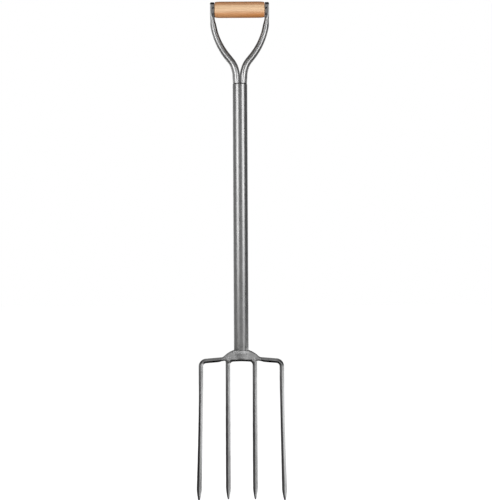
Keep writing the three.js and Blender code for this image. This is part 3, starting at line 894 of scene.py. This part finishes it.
def tine_rings(points, headings, widths):
    """Rings of a tine along its path, which ends at its point."""
    lengths = np.append(0, np.cumsum(np.linalg.norm(np.diff(points, axis=0), axis=1)))
    rings = []
    for point, heading, along in zip(points, headings, lengths):
        height = point[1] - TIPS_Z
        scale = point_scale(lengths[-1] - along)
        bar = eased(-math.degrees(heading), *BAR_TURN, 1, 0)
        blade = np.interp(height, TINE_HEIGHTS, widths)
        width = blade + (bar_width(point[0]) - blade) * bar
        across, forward = diamond(width * scale / 2, tine_depth(min(height, CROWN_HEIGHT)) * scale / 2)
        ring = place_ring(point, heading, across, forward, tine_dish(height))
        rings.append(forged(ring, eased(along, LUMPS_FROM, LUMPS_TO, 0, 1) * min(1.0, scale)))
    return rings


def outer_path():
    """From inside the crown, out along the bar, round the corner and down to the point."""
    turn = math.pi / 2 - TINE_BAR_SLOPE
    start_x = CROWN_HALF_WIDTH - TINE_INTO_CROWN
    corner_x = OUTER_TINE_X - TINE_CORNER_R + TINE_CORNER_R * math.sin(TINE_BAR_SLOPE)
    bar = (corner_x - start_x) / math.cos(TINE_BAR_SLOPE)
    start_z = CROWN_BOTTOM_Z + TINE_BAR_UP + TINE_INTO_CROWN * math.tan(TINE_BAR_SLOPE)
    corner_z = start_z - bar * math.sin(TINE_BAR_SLOPE)
    drop = corner_z - TINE_CORNER_R * math.cos(TINE_BAR_SLOPE) - TIPS_Z
    pieces = [(bar, 0, 1.2), (TINE_CORNER_R * turn, -turn, 0.7)]
    pieces += [(drop - TINE_POINT_LENGTH, 0, BLADE_STEP), *POINT_PIECES]
    points, headings = trace(start_x, start_z, -TINE_BAR_SLOPE, pieces)
    thinned = points[:, 0] < CROWN_HALF_WIDTH + BAR_ROOT_LENGTH
    points[thinned, 1] = bar_middle(points[thinned, 0])
    points[:, 0] += [tine_splay(z - TIPS_Z) for z in points[:, 1]]
    return points, headings


def inner_path():
    """Straight down from inside the crown."""
    start_z = CROWN_BOTTOM_Z + TINE_INTO_CROWN / 2
    blade = start_z - INNER_TIP_Z - TINE_POINT_LENGTH
    return trace(INNER_TINE_X, start_z, -math.pi / 2, [(blade, 0, BLADE_STEP), *POINT_PIECES])


def make_tine(kind, path, widths, side, name):
    vertices, faces = loft(tine_rings(*path, widths))
    if side < 0:
        vertices = mirrored(vertices)
    piece = new_mesh(f"forged_tine_{kind}_{name}", vertices, faces, sharp_angle=60)
    finish_piece(piece, HEAD_STEEL, f"tine_{kind}_{name}")


# --- Crown ---

CROWN_ARCH = 1  # how much higher the underside is in the middle
CROWN_ARCH_TO = 26
CROWN_THIN_FROM = 18  # how far out the crown starts to thin
CROWN_HALF_DEPTH = 9.5
CROWN_END_HALF_DEPTH = 7.4
CROWN_TOP_EDGE = 2.4
CROWN_BOTTOM_EDGE = 4.5
CROWN_SIDE_OUT = 1  # how far the crown reaches into the roots of the bars
CROWN_SIDE_EDGE = 2
COLLAR_R = 15.35
COLLAR_STRAIGHT = 6.5
COLLAR_TAPER = 0.3
COLLAR_BLEND = 5
COLLAR_EDGE = 0.8
COLLAR_ABOVE = 4  # from the underside up to the collar's lower end
COLLAR_END_EDGE = 4
TANG_ABOVE = 8  # from the underside up to the tang's lower end
TANG_R = SPIGOT_R
TANG_VISIBLE = 8
ROOT_INSET = 0.05  # how far a root lies inside its tine
ROOT_BELOW = 12  # how far a root runs down its tine, and up into the crown
ROOT_ABOVE = 3
ROOT_BLEND_HALF = 2  # half of the width over which the blend changes
ROOT_BLEND_INSIDE = 8
ROOT_BLEND_OUTSIDE = 1.2
NOTCH_FROM = 29  # the underside steps up outside each inner tine
NOTCH_TO = 33
NOTCH_HEIGHT = 2.6
BAR_BLEND = 3.4
BAR_INSIDE = 5  # how far a bar's root runs into the crown, and out along the bar
BAR_OUTSIDE = 9
CROWN_CELL = 0.75
CROWN_MARGIN = 2  # around the crown, in the grid of cells
SLOPE_STEP = 0.02
SMALLEST_SLOPE = 0.1
SETTLE_ROUNDS = 4
EVENING_ROUNDS = 3


def smooth_min(first, second, blend):
    """The lower of two fields, rounded where they meet over about the length blend."""
    meeting = np.maximum(blend - np.abs(first - second), 0) / blend
    return np.minimum(first, second) - meeting * meeting * blend / 4


def smooth_max(first, second, blend):
    return -smooth_min(-first, -second, blend)


def diamond_field(across, forward, half_width, half_depth):
    """Distance to a long diamond bar that lies just inside a tine's surface."""
    angle, offset = facet_of(half_width, half_depth)
    facets = np.abs(across) * np.cos(angle) + np.abs(forward) * np.sin(angle) - offset
    ridges = np.abs(forward) - half_depth
    edges = np.abs(across) - half_width
    return np.maximum(facets, np.maximum(ridges, edges)) + ROOT_INSET


def underside(side):
    """Height of the crown's underside, arched in the middle and stepped up outside the inner tines."""
    bottom = CROWN_BOTTOM_Z + eased(side, 0, CROWN_ARCH_TO, CROWN_ARCH, 0)
    return bottom + eased(side, NOTCH_FROM, NOTCH_TO, 0, NOTCH_HEIGHT)


def dome_field(side, depth, z):
    """Distance to the domed plate. side and depth are distances from the fork's middle planes."""
    dome = np.hypot(side, z - (SHAFT_FOOT_Z - CROWN_ARC_BELOW)) - CROWN_ARC_R
    half_depth = eased(side, CROWN_THIN_FROM, CROWN_HALF_WIDTH, CROWN_HALF_DEPTH, CROWN_END_HALF_DEPTH)
    body = smooth_max(dome, depth - half_depth, CROWN_TOP_EDGE)
    body = smooth_max(body, underside(side) - z, CROWN_BOTTOM_EDGE)
    return smooth_max(body, side - CROWN_HALF_WIDTH - CROWN_SIDE_OUT, CROWN_SIDE_EDGE)


def collar_field(side, depth, z):
    """Distance to the collar under the shaft."""
    radius = COLLAR_R - COLLAR_TAPER * np.maximum(SHAFT_FOOT_Z - COLLAR_STRAIGHT - z, 0)
    return smooth_max(np.hypot(side, depth) - radius, underside(side) + COLLAR_ABOVE - z, COLLAR_END_EDGE)


def tang_field(side, depth, z):
    """Distance to the tang inside the shaft."""
    tang = np.maximum(np.hypot(side, depth) - TANG_R, z - (SHAFT_FOOT_Z + TANG_VISIBLE))
    return np.maximum(tang, underside(side) + TANG_ABOVE - z)


def root_field(side, depth, z):
    """Distance to the root of an inner tine."""
    root = diamond_field(side - INNER_TINE_X, depth, TINE_ROOT_WIDTH / 2, TINE_ROOT_DEPTH / 2)
    return np.maximum(root, np.maximum(CROWN_BOTTOM_Z - ROOT_BELOW - z, z - (CROWN_BOTTOM_Z + ROOT_ABOVE)))


def bar_field(side, depth, z):
    """Distance to the root of an outer tine's bar."""
    across = (z - bar_middle(side)) * math.cos(TINE_BAR_SLOPE)
    bar = diamond_field(across, depth, bar_width(side) / 2, TINE_ROOT_DEPTH / 2)
    ends = np.maximum(CROWN_HALF_WIDTH - BAR_INSIDE - side, side - CROWN_HALF_WIDTH - BAR_OUTSIDE)
    return np.maximum(bar, ends)


def crown_field(x, y, z):
    """Distance to the crown's surface in millimetres, negative inside."""
    place = np.abs(x), np.abs(y), z
    body = smooth_min(dome_field(*place), collar_field(*place), COLLAR_BLEND)
    body = smooth_max(body, z - (SHAFT_FOOT_Z - GAP), COLLAR_EDGE)
    body = np.minimum(body, tang_field(*place))
    near, far = INNER_TINE_X - ROOT_BLEND_HALF, INNER_TINE_X + ROOT_BLEND_HALF
    blend = eased(np.abs(x), near, far, ROOT_BLEND_INSIDE, ROOT_BLEND_OUTSIDE)
    body = smooth_min(body, root_field(*place), blend)
    return smooth_min(body, bar_field(*place), BAR_BLEND)


def settle(field, points):
    """Moves points on to the surface of a field, along its slope."""
    for _ in range(SETTLE_ROUNDS):
        value = field(*points.T)
        rises = [field(*(points + shift).T) - field(*(points - shift).T) for shift in np.eye(3) * SLOPE_STEP]
        slope = np.stack(rises, 1) / (2 * SLOPE_STEP)
        size = np.maximum((slope**2).sum(1), SMALLEST_SLOPE)
        points = points - slope * (value / size)[:, None]
    return points


def evened(points, faces):
    """Moves every point to the middle of its neighbours."""
    total, count = np.zeros_like(points), np.zeros(len(points))
    for a, b in ((0, 1), (1, 2), (2, 3), (3, 0)):
        for first, second in ((a, b), (b, a)):
            np.add.at(total, faces[:, first], points[faces[:, second]])
            np.add.at(count, faces[:, first], 1)
    return total / count[:, None]


def net(field, low, high, cell):
    """A quad mesh over the surface of a field, with one vertex in each cell that it crosses."""
    axes = [np.arange(start, end + cell, cell) for start, end in zip(low, high)]
    inside = field(*np.meshgrid(*axes, indexing="ij")) < 0
    size = np.array(inside.shape) - 1
    corners = sum(
        inside[i : size[0] + i, j : size[1] + j, k : size[2] + k].astype(int)
        for i, j, k in itertools.product((0, 1), repeat=3)
    )
    crossed = (corners > 0) & (corners < 8)
    number = np.full(crossed.shape, -1)
    number[crossed] = np.arange(crossed.sum())
    points = np.array(low) + (np.argwhere(crossed) + 0.5) * cell
    faces = []
    for axis in range(3):
        u, v = np.eye(3, dtype=int)[[(axis + 1) % 3, (axis + 2) % 3]]
        ahead = np.roll(inside, -1, axis)
        at = np.argwhere(inside != ahead)
        corners_round = [at, at - u, at - u - v, at - v]
        faces.append(np.stack([number[tuple(c.T)] for c in corners_round], 1))
    faces = np.vstack(faces)
    for _ in range(EVENING_ROUNDS):
        points = settle(field, evened(points, faces))
    return points, faces


def make_crown():
    x, y = CROWN_HALF_WIDTH + BAR_OUTSIDE + CROWN_MARGIN, COLLAR_R + CROWN_MARGIN
    low = (-x, -y, CROWN_BOTTOM_Z - ROOT_BELOW - CROWN_MARGIN)
    high = (x, y, SHAFT_FOOT_Z + TANG_VISIBLE + CROWN_MARGIN)
    points, faces = net(crown_field, low, high, CROWN_CELL)
    piece = new_mesh("forged_crown", points, faces.tolist(), sharp_angle=60)
    finish_piece(piece, HEAD_STEEL, "crown")


# --- The fork ---

make_grip()
make_shaft()
make_crown()
for side, name in ((1, "right"), (-1, "left")):
    make_pin(side, name)
    make_arm(side, name)
    make_tine("outer", outer_path(), OUTER_TINE_WIDTHS, side, name)
    make_tine("inner", inner_path(), INNER_TINE_WIDTHS, side, name)
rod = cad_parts["grip_rod"]
rod.data.materials.clear()
rod.data.materials.append(PIN_STEEL)

# --- Studio ---

cad_low, cad_high = cad_box
FORK_HEIGHT = cad_high.z - cad_low.z
VIEW_HEIGHT = 1.0042 * FORK_HEIGHT  # height that the picture takes in
VIEW_RIGHT = 0.0107  # of the picture's middle from the fork's
VIEW_UP = 0.0011
VIEW_MIDDLE = Vector((VIEW_RIGHT, 0, (cad_high.z + cad_low.z) / 2 + VIEW_UP))
VIEW_DISTANCE = 3.5
VIEW_ROLL = math.radians(0.29)
VIEW_END = 50
SENSOR = 36
PANELS = (  # name, azimuth, distance, width, low, high, brightness
    ("front_left", -45, 1.5, 0.85, 0.46, 1.45, 2.3),
    ("front_right", 46, 1.5, 0.85, 0.42, 1.45, 2.35),
    ("low_front_right", 46, 1.5, 0.7, -0.5, 0.2, 1.05),
    ("low_right", 112, 0.62, 0.75, -0.35, 0.24, 1.45),
    ("low_front", 0, 1.2, 1.6, -0.75, 0.12, 0.42),
    ("back_left", -152, 1.6, 0.5, 0.0, 1.3, 0.9),
    ("back_right", 152, 1.6, 0.5, 0.0, 1.3, 0.5),
)
WOOD_PANEL = ("wood_fill", 0, 2.2, 1.5, -1.5, 0.9, 2.1)
BLACK_CARD = ("low_left_flag", -104, 0.5, 0.6, -0.3, 0.2)
# Share of the way from underfoot to overhead, then the brightness there
ROOM_STOPS = ((0.06, 0), (0.2, 0.02), (0.36, 0.3), (0.42, 0.42))
ROOM_STOPS += ((0.58, 0.42), (0.68, 0.12), (0.86, 0.12), (0.94, 0.4))
ROOM_RIGHT = {"From Min": 0.3, "From Max": 0.9, "To Min": 1.0, "To Max": 0.4}  # dimmer to the right
FLOOR_HALF = 12
FLOOR_DROP = 0.001  # below the points
FLOOR_GREY = 0.5
FLOOR_ROUGHNESS = 0.9
FLOOR_GLOW = 0.9


def make_camera():
    """Straight on from the front, level with the fork's middle."""
    camera = bpy.data.cameras.new("camera")
    camera.sensor_width = SENSOR
    camera.lens = SENSOR * VIEW_DISTANCE / VIEW_HEIGHT
    camera.clip_end = VIEW_END
    holder = bpy.data.objects.new("camera", camera)
    holder.location = VIEW_MIDDLE - Vector((0, VIEW_DISTANCE, 0))
    holder.rotation_euler = (math.pi / 2, VIEW_ROLL, 0)
    bpy.context.scene.collection.objects.link(holder)
    bpy.context.scene.camera = holder


def place_upright(holder, azimuth, distance, low, high):
    """Stands something around the fork, facing it. Azimuth is from the front, to the right; low and
    high are heights over the points."""
    turn = math.radians(azimuth)
    middle = cad_low.z + (low + high) / 2
    holder.location = (distance * math.sin(turn), -distance * math.cos(turn), middle)
    holder.rotation_euler = (math.pi / 2, 0, turn)
    holder.visible_camera = False
    bpy.context.scene.collection.objects.link(holder)


def panel(name, azimuth, distance, width, low, high, brightness):
    """A soft upright panel. Brightness is the light that a mirror would show in it."""
    height = high - low
    light = bpy.data.lights.new(name, "AREA")
    light.shape, light.size, light.size_y = "RECTANGLE", width, height
    light.energy = 4 * brightness * width * height
    holder = bpy.data.objects.new(name, light)
    place_upright(holder, azimuth, distance, low, high)
    return holder


def card(name, half_width, half_height, tone):
    """A flat, shineless card that neither lights the fork nor shades it. Returns it and its shader."""
    x, y = half_width, half_height
    mesh = bpy.data.meshes.new(name)
    mesh.from_pydata([(-x, -y, 0), (x, -y, 0), (x, y, 0), (-x, y, 0)], [], [(0, 1, 2, 3)])
    material = bpy.data.materials.new(name)
    material.use_nodes = True
    shader = material.node_tree.nodes["Principled BSDF"]
    shader.inputs["Base Color"].default_value = grey(tone)
    shader.inputs["Specular IOR Level"].default_value = 0
    mesh.materials.append(material)
    holder = bpy.data.objects.new(name, mesh)
    holder.visible_diffuse = False
    holder.visible_shadow = False
    return holder, shader


def flag(name, azimuth, distance, width, low, high):
    """A black card that only darkens what the steel reflects."""
    holder, _ = card(name, width / 2, (high - low) / 2, 0.0)
    place_upright(holder, azimuth, distance, low, high)


def make_lights():
    """Soft panels all round, one more that steel doesn't reflect, for the wood, and one black card."""
    for settings in PANELS:
        panel(*settings)
    panel(*WOOD_PANEL).visible_glossy = False
    flag(*BLACK_CARD)


def make_room(tree):
    """A grey room: dark underfoot, bright at the fork's own level, dimmer above, bright overhead."""
    place = tree.nodes.new("ShaderNodeTexCoord")
    split = tree.nodes.new("ShaderNodeSeparateXYZ")
    height = tree.nodes.new("ShaderNodeMapRange")
    height.inputs["From Min"].default_value = -1
    ramp = tree.nodes.new("ShaderNodeValToRGB")
    for _ in ROOM_STOPS[2:]:
        ramp.color_ramp.elements.new(0.5)
    for element, (position, value) in zip(ramp.color_ramp.elements, ROOM_STOPS):
        element.position, element.color = position, grey(value)
    side = tree.nodes.new("ShaderNodeMapRange")
    for name, number in ROOM_RIGHT.items():
        side.inputs[name].default_value = number
    room = tree.nodes.new("ShaderNodeBackground")
    for start, end in (
        (place.outputs["Generated"], split.inputs[0]),
        (split.outputs["Z"], height.inputs["Value"]),
        (height.outputs[0], ramp.inputs[0]),
        (split.outputs["X"], side.inputs["Value"]),
        (side.outputs[0], room.inputs["Strength"]),
        (ramp.outputs[0], room.inputs["Color"]),
    ):
        tree.links.new(start, end)
    return room


def make_world():
    """White behind the fork. The grey room lights it and shows in its steel."""
    world = bpy.data.worlds.new("studio")
    world.use_nodes = True
    tree = world.node_tree
    tree.nodes.clear()
    room = make_room(tree)
    white = tree.nodes.new("ShaderNodeBackground")
    white.inputs["Color"].default_value = grey(1.0)
    rays = tree.nodes.new("ShaderNodeLightPath")
    choose = tree.nodes.new("ShaderNodeMixShader")
    output = tree.nodes.new("ShaderNodeOutputWorld")
    for start, end in (
        (rays.outputs["Is Camera Ray"], choose.inputs[0]),
        (room.outputs[0], choose.inputs[1]),
        (white.outputs[0], choose.inputs[2]),
        (choose.outputs[0], output.inputs["Surface"]),
    ):
        tree.links.new(start, end)
    bpy.context.scene.world = world


def make_floor():
    """A plain white floor, level with the points. It doesn't show in the fork's steel."""
    floor, shader = card("floor", FLOOR_HALF, FLOOR_HALF, FLOOR_GREY)
    shader.inputs["Roughness"].default_value = FLOOR_ROUGHNESS
    shader.inputs["Emission Color"].default_value = grey(1.0)
    shader.inputs["Emission Strength"].default_value = FLOOR_GLOW
    floor.location.z = cad_low.z - FLOOR_DROP
    floor.visible_glossy = False
    bpy.context.scene.collection.objects.link(floor)


make_camera()
make_lights()
make_world()
make_floor()
bpy.context.scene.view_settings.view_transform = "Standard"
